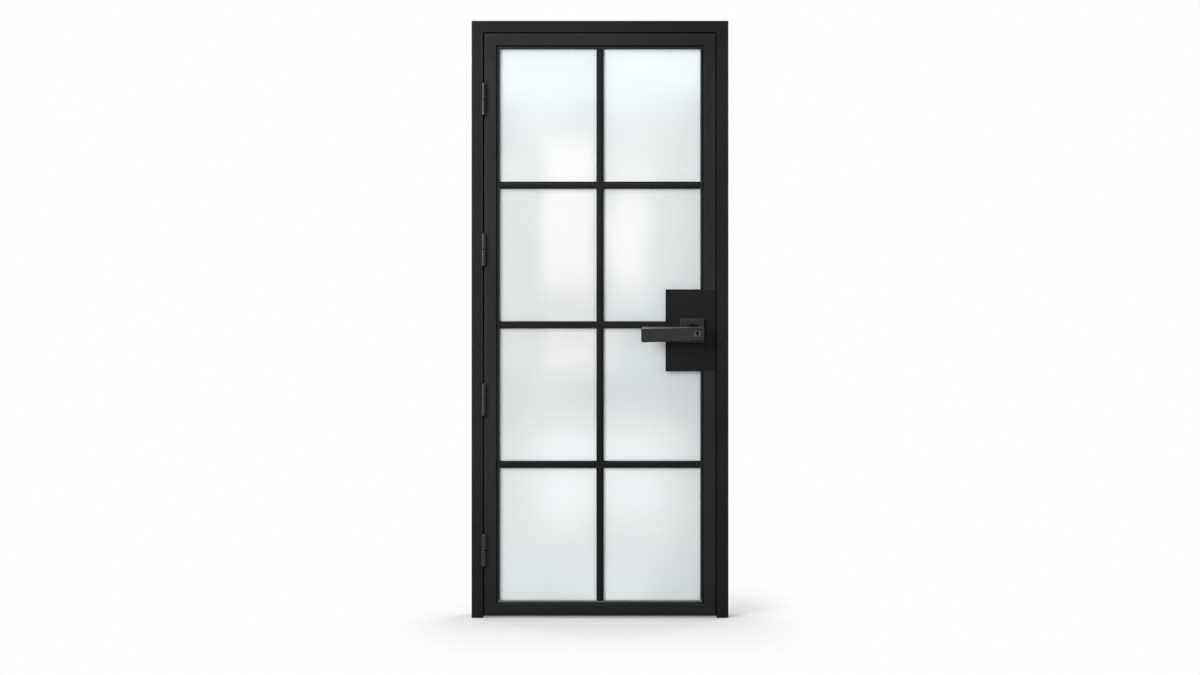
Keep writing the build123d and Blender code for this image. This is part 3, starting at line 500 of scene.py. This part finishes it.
# Painted shade: black round the lever's neck and inside the key slot
NECK_RADIUS, NECK_NEAR, NECK_FAR, NECK_PAINTED_SHADE = 0.0242, 0.0322, 0.0760, 0.012
KEYWAY_RADIUS, KEYWAY_PAINTED_SHADE = 0.0139, 0.002


def middle(name):
    """The x and z of the middle of a node's box."""
    low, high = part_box(name)
    return (low.x + high.x) / 2, (low.z + high.z) / 2


neck = (*middle("spindle"), NECK_RADIUS, NECK_NEAR, NECK_FAR, NECK_PAINTED_SHADE)
plug_face = -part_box("key_plug")[0].y
keyway = (*middle("key_plug"), KEYWAY_RADIUS, 0.0, plug_face - BLACK_EDGE, KEYWAY_PAINTED_SHADE)
# Name, shade, roughness, how metallic it is and which way the belt ran
dress("handle_metal", satin_metal("handle_metal", 0.020, 0.32, 0.30, ALONG_X, black=neck))
dress_nodes(["rose_front", "rose_rear"], satin_metal("rose_metal", 0.020, 0.34, 0.30, ALONG_Z, edge=0.0022))
dress("cylinder_metal", satin_metal("cylinder_metal", 0.055, 0.34, 0.5, EVEN, edge=0.0003, black=keyway))
dress_nodes(["key_housing"], satin_metal("cylinder_ring", 0.008, 0.45, 1.0, EVEN, edge=0.0003))
dress("lock_steel", satin_metal("lock_steel", 0.016, 0.40, 0.7, ALONG_Z, edge=0.0004))
dress("spring_steel", satin_metal("spring_steel", 0.34, 0.34, 1.0, ALONG_Z, edge=0.0002))
dress("pin_steel", satin_metal("pin_steel", 0.012, 0.40, 0.7, EVEN, edge=0.0003))
screw_steel = satin_metal("screw_steel", 0.10, 0.38, 0.9, EVEN, edge=0.0002)
dress("screw_steel", screw_steel)

# %% [markdown]
# ## Rubber and moulded plastic
#
# Gaskets and bulb seals are black rubber: matt, with a fine grain, and a little grey where it has bloomed.
# The dust box behind the strike is moulded plastic with a finer, spark-eroded grain. One recipe serves
# both, since only the shade, the roughness and the grain differ.

# %% Rubber and plastic
BLOOM_SCALE = 30.0
BLOOM_RANGE = (0.45, 0.75)
BLOOM_SHARE, BLOOM_PALE = 0.5, 2.4   # how much of it shows, and how much paler it is
RUBBER_ROUGH = 0.1                   # how much bloom and grain each change the roughness
RUBBER_SHINE = 0.3
GRAIN_DEPTH, GRAIN_STRENGTH = 0.0001, 0.4


def rubber(name, shade, rough, grain):
    """Matt black with pale bloom in patches and a fine grain."""
    material, shader, at = new_finish(name, specular_ior_level=RUBBER_SHINE)
    bloom = noise(at, BLOOM_SCALE, 4.0).ramp(*BLOOM_RANGE)
    skin = noise(at, grain)
    relief = at.node("ShaderNodeBump", None,
                     {"Strength": GRAIN_STRENGTH, "Distance": GRAIN_DEPTH, "Height": skin})
    tone = (bloom * BLOOM_SHARE).mix(grey(shade), grey(shade * BLOOM_PALE))
    join(shader, base_color=tone, normal=relief,
         roughness=rough + bloom * RUBBER_ROUGH + (skin - 0.5) * RUBBER_ROUGH)
    return material


# Name, shade, roughness and the scale of the grain
dress("gasket_rubber", rubber("gasket_rubber", 0.010, 0.72, 900.0))
dress("seal_rubber", rubber("seal_rubber", 0.012, 0.66, 700.0))
dress("dust_box_plastic", rubber("dust_box_plastic", 0.016, 0.5, 1500.0))

# %% [markdown]
# ## Latch spring
#
# A folded strip of spring steel pushes the latch out. CAD holds it at one length, but a real one is pressed
# together as the lever draws the latch back. A copy of its mesh, with its doubled points welded, stands for
# the node, and the share of its length that stays when the latch is drawn back is worked out from the
# latch's travel.

# %% Latch spring
WELD = 0.00001             # points nearer than this are one
slide = next(joint for joint in frame["joints"] if joint["name"] == "latch_slide")
low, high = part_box("latch_spring")
pressed_share = 1 - slide["range_m"][1] / (high.x - low.x)
spring_mesh = nodes["latch_spring"].data.copy()
strip = bmesh.new()
strip.from_mesh(spring_mesh)
bmesh.ops.remove_doubles(strip, verts=strip.verts, dist=WELD)
strip.to_mesh(spring_mesh)
strip.free()
folds = bpy.data.objects.new("latch_spring_folds", spring_mesh)
scene.collection.objects.link(folds)
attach(folds, "leaf")
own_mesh(folds)
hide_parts("latch_spring")
print("spring of", len(spring_mesh.polygons), "faces, pressed to", round(pressed_share, 2), "of its length")

# %% [markdown]
# ## Screws in rows
#
# Screws hold the strike, the forend, the glazing beads and the frame. All of them stand in straight rows,
# so one Geometry Nodes tree makes every row: an edge is the row, the tree spaces points along it and puts
# a cross-head screw on each. The head is a cone with two crossed slots cut from it. Copying heads in Python
# would work too, but the tree keeps the sizes as inputs that can be changed later.

# %% Screw tree
HEAD_SIDES = 20
SPIN_SEED = 7              # screws stop at any angle, the same on every run
SCREW_SIZES = ("Pitch", "Top Radius", "Foot Radius", "Height", "Seat",
               "Slot Length", "Slot Width", "Slot Depth")


def screw_tree():
    """Geometry Nodes: edges in, a row of cross-head screws along each edge out."""
    tree = bpy.data.node_groups.new("screw_rows", "GeometryNodeTree")
    tree.interface.new_socket("Rows", in_out="INPUT", socket_type="NodeSocketGeometry")
    for name in SCREW_SIZES:
        tree.interface.new_socket(name, in_out="INPUT", socket_type="NodeSocketFloat")
    tree.interface.new_socket("Finish", in_out="INPUT", socket_type="NodeSocketMaterial")
    tree.interface.new_socket("Screws", in_out="OUTPUT", socket_type="NodeSocketGeometry")
    given = tree.nodes.new("NodeGroupInput")
    size = {s.name: Wire(tree, s) for s in given.outputs if s.name}
    start = size["Pitch"]

    cone = start.node("GeometryNodeMeshCone", None, {
        "Vertices": HEAD_SIDES, "Radius Top": size["Top Radius"],
        "Radius Bottom": size["Foot Radius"], "Depth": size["Height"]})
    slots = []
    for x, y in (("Slot Length", "Slot Width"), ("Slot Width", "Slot Length")):
        box = start.node("ShaderNodeCombineXYZ", None, {0: size[x], 1: size[y], 2: size["Slot Depth"] * 2})
        cube = start.node("GeometryNodeMeshCube", None, {"Size": box})
        place = start.node("ShaderNodeCombineXYZ", None, {2: size["Height"]})
        slots.append(start.node("GeometryNodeTransform", None, {"Geometry": cube, "Translation": place}))
    head = cone
    for slot in slots:
        head = start.node("GeometryNodeMeshBoolean", {"operation": "DIFFERENCE"},
                          {"Mesh 1": head, "Mesh 2": slot})
    drop = start.node("ShaderNodeCombineXYZ", None, {2: size["Seat"]})
    head = start.node("GeometryNodeTransform", None, {"Geometry": head, "Translation": drop})

    rows = start.node("GeometryNodeMeshToCurve", None, {0: size["Rows"]})
    length = start.node("GeometryNodeSplineLength")
    count = start.sum("ROUND", length / size["Pitch"]) + 1
    points = start.node("GeometryNodeResampleCurve", None, {"Curve": rows, "Count": count})
    facing = start.node("GeometryNodeInputNamedAttribute", {"data_type": "FLOAT_VECTOR"},
                        {"Name": "facing"})
    turn = start.node("FunctionNodeAlignRotationToVector", {"axis": "Z"}, {"Vector": facing})
    spin = start.node("FunctionNodeRandomValue", {"data_type": "FLOAT"},
                      {"Min": 0.0, "Max": math.pi / 2, "Seed": SPIN_SEED}, out=1)
    spin = start.node("FunctionNodeAxisAngleToRotation", None, {"Axis": (0, 0, 1), "Angle": spin})
    turn = start.node("FunctionNodeRotateRotation", {"rotation_space": "LOCAL"}, {0: turn, 1: spin})
    screws = start.node("GeometryNodeInstanceOnPoints", None,
                        {"Points": points, "Instance": head, "Rotation": turn})
    screws = start.node("GeometryNodeRealizeInstances", None, {"Geometry": screws})
    screws = start.node("GeometryNodeSetMaterial", None, {"Geometry": screws, "Material": size["Finish"]})
    result = tree.nodes.new("NodeGroupOutput")
    tree.links.new(screws.socket, result.inputs[0])
    return tree


SCREW_TREE = screw_tree()
print("screw tree with", len(SCREW_TREE.nodes), "nodes")

# %% [markdown]
# ## From a row to a piece
#
# The guide edges, which were only there to carry the tree, are then thrown away.

# %% Screw rows


def screw_rows(name, body, rows, finish, **sizes):
    """A plain mesh of screws. Each row is its two ends and the way its heads face, in metres."""
    mesh = bpy.data.meshes.new(name)
    ends = [point for first, last, _ in rows for point in (first, last)]
    mesh.from_pydata(ends, [(2 * i, 2 * i + 1) for i in range(len(rows))], [])
    facing = mesh.attributes.new("facing", "FLOAT_VECTOR", "POINT")
    for index in range(len(ends)):
        facing.data[index].vector = rows[index // 2][2]
    guide = bpy.data.objects.new(name + "_rows", mesh)
    scene.collection.objects.link(guide)
    modifier = guide.modifiers.new("screws", "NODES")
    modifier.node_group = SCREW_TREE
    for item in SCREW_TREE.interface.items_tree:
        key = item.name.lower().replace(" ", "_")
        if item.in_out == "INPUT" and key in sizes:
            modifier[item.identifier] = sizes[key]
        elif item.in_out == "INPUT" and item.name == "Finish":
            modifier[item.identifier] = finish
    bpy.context.view_layer.update()
    graph = bpy.context.evaluated_depsgraph_get()
    made = bpy.data.meshes.new_from_object(guide.evaluated_get(graph))
    guide.modifiers.remove(modifier)
    bpy.data.objects.remove(guide)
    made.name = name
    piece = bpy.data.objects.new(name, made)
    scene.collection.objects.link(piece)
    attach(piece, body)
    print(name, "faces", len(made.polygons))
    return piece


print("screw rows ready")

# %% [markdown]
# ## Where the screws go
#
# The places come from the CAD nodes' own boxes, so the screws follow the part if it is packed again.
# Countersunk heads sink a tenth of a millimetre below the plate, as they do when they are driven home.

# %% Lock and frame screws
SINK = 0.0001
SLOT_LENGTH_SHARE, SLOT_WIDTH_SHARE, SLOT_DEPTH_SHARE = 1.15, 0.24, 0.55


def countersunk(top, foot):
    """Sizes of a countersunk head that fills its hole, from its radius at the top and at the foot."""
    height = top - foot
    return dict(top_radius=top, foot_radius=foot, height=height, seat=-height - SINK,
                slot_length=top * SLOT_LENGTH_SHARE, slot_width=top * SLOT_WIDTH_SHARE,
                slot_depth=height * SLOT_DEPTH_SHARE)


def upright_row(x, y, low, high, facing):
    """A row that stands at x and y between two heights."""
    return (x, y, low), (x, y, high), facing


low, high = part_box("forend")
FOREND_INSET = 0.007
FOREND_HEAD = (0.0051, 0.0022)
rows = [upright_row(high.x, 0, low.z + FOREND_INSET, high.z - FOREND_INSET, (1, 0, 0))]
screw_rows("forend_screws", "leaf", rows, screw_steel, pitch=high.z - low.z,
                   **countersunk(*FOREND_HEAD))

low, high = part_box("strike_plate")
STRIKE_INSET = 0.009
STRIKE_HEAD = (0.0041, 0.0022)
rows = [upright_row(low.x, 0, low.z + STRIKE_INSET, high.z - STRIKE_INSET, (-1, 0, 0))]
screw_rows("strike_screws", "frame", rows, screw_steel, pitch=high.z - low.z,
                   **countersunk(*STRIKE_HEAD))

# %% Frame fixings and rose screws
FIXING_LOW, FIXING_HIGH, FIXING_PITCH = 0.3, 1.8, 0.5
FIXING_HEAD = (0.0098, 0.0052)
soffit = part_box("hinge_jamb")[1].x
fixing_y = (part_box("hinge_jamb_seal")[1].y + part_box("hinge_jamb")[1].y) / 2
rows = [upright_row(side * soffit, fixing_y, FIXING_LOW, FIXING_HIGH, (side, 0, 0)) for side in (1, -1)]
screw_rows("frame_fixings", "frame", rows, screw_steel, pitch=FIXING_PITCH,
                   **countersunk(*FIXING_HEAD))

low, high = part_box("rose_screws")
ROSE_HEAD, ROSE_FOOT = 0.005, 0.0025
spindle_z = (low.z + high.z) / 2
rows = [((low.x + ROSE_HEAD, high.y, spindle_z), (high.x - ROSE_HEAD, high.y, spindle_z), (0, 1, 0))]
rose_heads = screw_rows("rose_screw_heads", "leaf", rows, screw_steel, pitch=high.x - low.x,
                        **countersunk(ROSE_HEAD - SINK, ROSE_FOOT))
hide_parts("rose_screws")

# %% [markdown]
# ## Bead screws
#
# The beads behind the glass come off to change a pane, so each length is held by small pan-head screws.
# Their rows run round every pane, a little way in from the corners, and round the lock box too.

# %% Bead screws
BEAD_LINE = 0.0031         # from the rebate to the middle of the bead's flat back
CORNER = 0.045             # from a corner to the first screw
BOX_RIM = 0.012
BEAD_PITCH = 0.19
PAN_HEAD = dict(top_radius=0.0018, foot_radius=0.0026, height=0.0013, seat=0.0,
                slot_length=0.0030, slot_width=0.0007, slot_depth=0.0008)


def bead_rows(name):
    """The rows of screws on one pane's beads."""
    low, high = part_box(name)
    x0, x1, z0, z1 = low.x + BEAD_LINE, high.x - BEAD_LINE, low.z + BEAD_LINE, high.z - BEAD_LINE
    box_low, box_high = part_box("lock_box")
    side = box_low.x + BOX_RIM - BEAD_LINE
    foot, head = box_low.z + BOX_RIM - BEAD_LINE, box_high.z - BOX_RIM + BEAD_LINE
    corners = [(x0, z0), (x1, z0), (x1, z1), (x0, z1)]
    if x1 > side and z0 < head < z1:
        corners = [(x0, z0), (side, z0), (side, head), (x1, head), (x1, z1), (x0, z1)]
    elif x1 > side and z0 < foot < z1:
        corners = [(x0, z0), (x1, z0), (x1, foot), (side, foot), (side, z1), (x0, z1)]
    rows = []
    for (xa, za), (xb, zb) in zip(corners, corners[1:] + corners[:1]):
        a, b = Vector((xa, high.y, za)), Vector((xb, high.y, zb))
        step = (b - a).normalized() * CORNER
        rows.append((a + step, b - step, (0, 1, 0)))
    return rows


bead_nodes = [name for name in nodes if name.startswith("beads_")]
rows = [row for name in bead_nodes for row in bead_rows(name)]
screw_rows("bead_screws", "leaf", rows, screw_steel, pitch=BEAD_PITCH, **PAN_HEAD)

# %% [markdown]
# ## Floor and world
#
# The photograph is a white studio. A white floor lit at a plain level comes out pale grey, so for rays that
# the camera, a reflection or the glass sends out, the floor and the world glow by themselves up to white.
# Rays that carry light to the door see neither glow, so the door is lit by a soft world and by lamps, and
# the floor keeps their shadow.

# %% Floor and world
FLOOR_SIZE = 60.0
FLOOR_SHADE = 0.36
FLOOR_GLOW = 0.26
FLOOR_FADE = (0.0, 1.0)    # metres from the door over which the floor turns plain white
FLOOR_SIDE = 2.6           # how much sooner it does so beside the door
WORLD_LIGHT = 0.18


def seen(wire):
    """1 for rays whose result shows: from the camera, a reflection or through glass."""
    path = wire.node("ShaderNodeLightPath", out="Is Camera Ray")
    outputs = path.socket.node.outputs
    glossy = Wire(wire.tree, outputs["Is Glossy Ray"])
    through = Wire(wire.tree, outputs["Is Transmission Ray"])
    return path.sum("MAXIMUM", path.sum("MAXIMUM", path, glossy), through)


def floor_finish():
    """Pale floor that keeps a shadow and reads as white."""
    material = bpy.data.materials.new("studio_floor")
    material.use_nodes = True
    tree = material.node_tree
    tree.nodes.clear()
    start = Wire(tree)
    lit = start.node("ShaderNodeBsdfDiffuse", None, {"Color": grey(FLOOR_SHADE)})
    glow = start.node("ShaderNodeEmission", None, {"Strength": seen(start) * FLOOR_GLOW})
    near = start.node("ShaderNodeAddShader", None, {0: lit, 1: glow})
    at = start.node("ShaderNodeTexCoord", out="Object")
    x, y = along(at, "X"), along(at, "Y")
    beside = at.sum("MAXIMUM", at.sum("ABSOLUTE", x) - cad_box[1].x, 0.0) * FLOOR_SIDE
    away = (beside * beside + y * y) ** 0.5
    white = start.node("ShaderNodeEmission", None, {"Strength": 1.0})
    share = seen(start) * away.ramp(*FLOOR_FADE)
    both = start.node("ShaderNodeMixShader", None, {0: share, 1: near, 2: white})
    start.node("ShaderNodeOutputMaterial", None, {"Surface": both}, out=None)
    return material


floor_mesh = bpy.data.meshes.new("studio_floor")
half = FLOOR_SIZE / 2
corners = [(-half, -half, 0), (half, -half, 0), (half, half, 0), (-half, half, 0)]
floor_mesh.from_pydata(corners, [], [(0, 1, 2, 3)])
floor_mesh.materials.append(floor_finish())
studio_floor = bpy.data.objects.new("studio_floor", floor_mesh)
scene.collection.objects.link(studio_floor)

world = bpy.data.worlds.new("studio")
world.use_nodes = True
world.node_tree.nodes.clear()
sky = Wire(world.node_tree)
soft = sky.node("ShaderNodeBackground", None, {"Color": grey(1.0), "Strength": WORLD_LIGHT})
white = sky.node("ShaderNodeBackground", None, {"Color": grey(1.0), "Strength": 1.0})
shown = sky.node("ShaderNodeMixShader", None, {0: seen(sky), 1: soft, 2: white})
sky.node("ShaderNodeOutputWorld", None, {"Surface": shown}, out=None)
scene.world = world
print("floor", FLOOR_SIZE, "m, world light", WORLD_LIGHT)

# %% [markdown]
# ## Lamps
#
# In the photograph the left of each hinge shines, the lever's upper edge is bright and shadows fall down
# and to the right. So the key lamp and a tall side lamp stand on the left, and two more hang overhead. One
# high up behind throws the soft shadow in front of the door's foot. The others light what the photograph
# doesn't show, and stand well to the side, because a lamp low behind the door would shine through the
# frosted panes.

# %% Lamps


def lamp(name, place, target, width, height, power):
    """A soft box aimed at a point, hidden from the camera."""
    data = bpy.data.lights.new(name, "AREA")
    data.shape = "RECTANGLE"
    data.size = width
    data.size_y = height
    data.energy = power
    light = bpy.data.objects.new(name, data)
    light.location = place
    light.rotation_euler = (Vector(target) - Vector(place)).to_track_quat("-Z", "Y").to_euler()
    light.visible_camera = False
    scene.collection.objects.link(light)
    print(name, power, "W,", width, "by", height, "m")
    return light


# Name, place, what it is aimed at, width and height, all in metres, and watts
lamp("key", (-3.0, -4.0, 3.0), (0, 0, 1.2), 2.2, 2.2, 220.0)
lamp("overhead", (-1.5, -2.6, 5.2), (0, 0, 1.0), 1.8, 1.8, 70.0)
lamp("side", (-3.6, -2.7, 1.8), (-0.4, 0, 1.2), 0.8, 2.6, 70.0)
lamp("strip", (-0.32, -0.2, 4.4), (-0.32, -0.1, 1.0), 0.9, 0.9, 66.0)
lamp("right", (4.0, 0.7, 2.4), (0.45, 0, 1.1), 1.6, 1.6, 50.0)
lamp("behind", (0.2, 1.5, 4.2), (0, -0.3, 0), 3.0, 3.0, 120.0)
lamp("rear_left", (-3.8, 3.6, 2.6), (0, 0, 1.0), 1.6, 1.6, 110.0)
lamp("rear_right", (3.8, 3.6, 2.6), (0, 0, 1.0), 1.6, 1.6, 110.0)
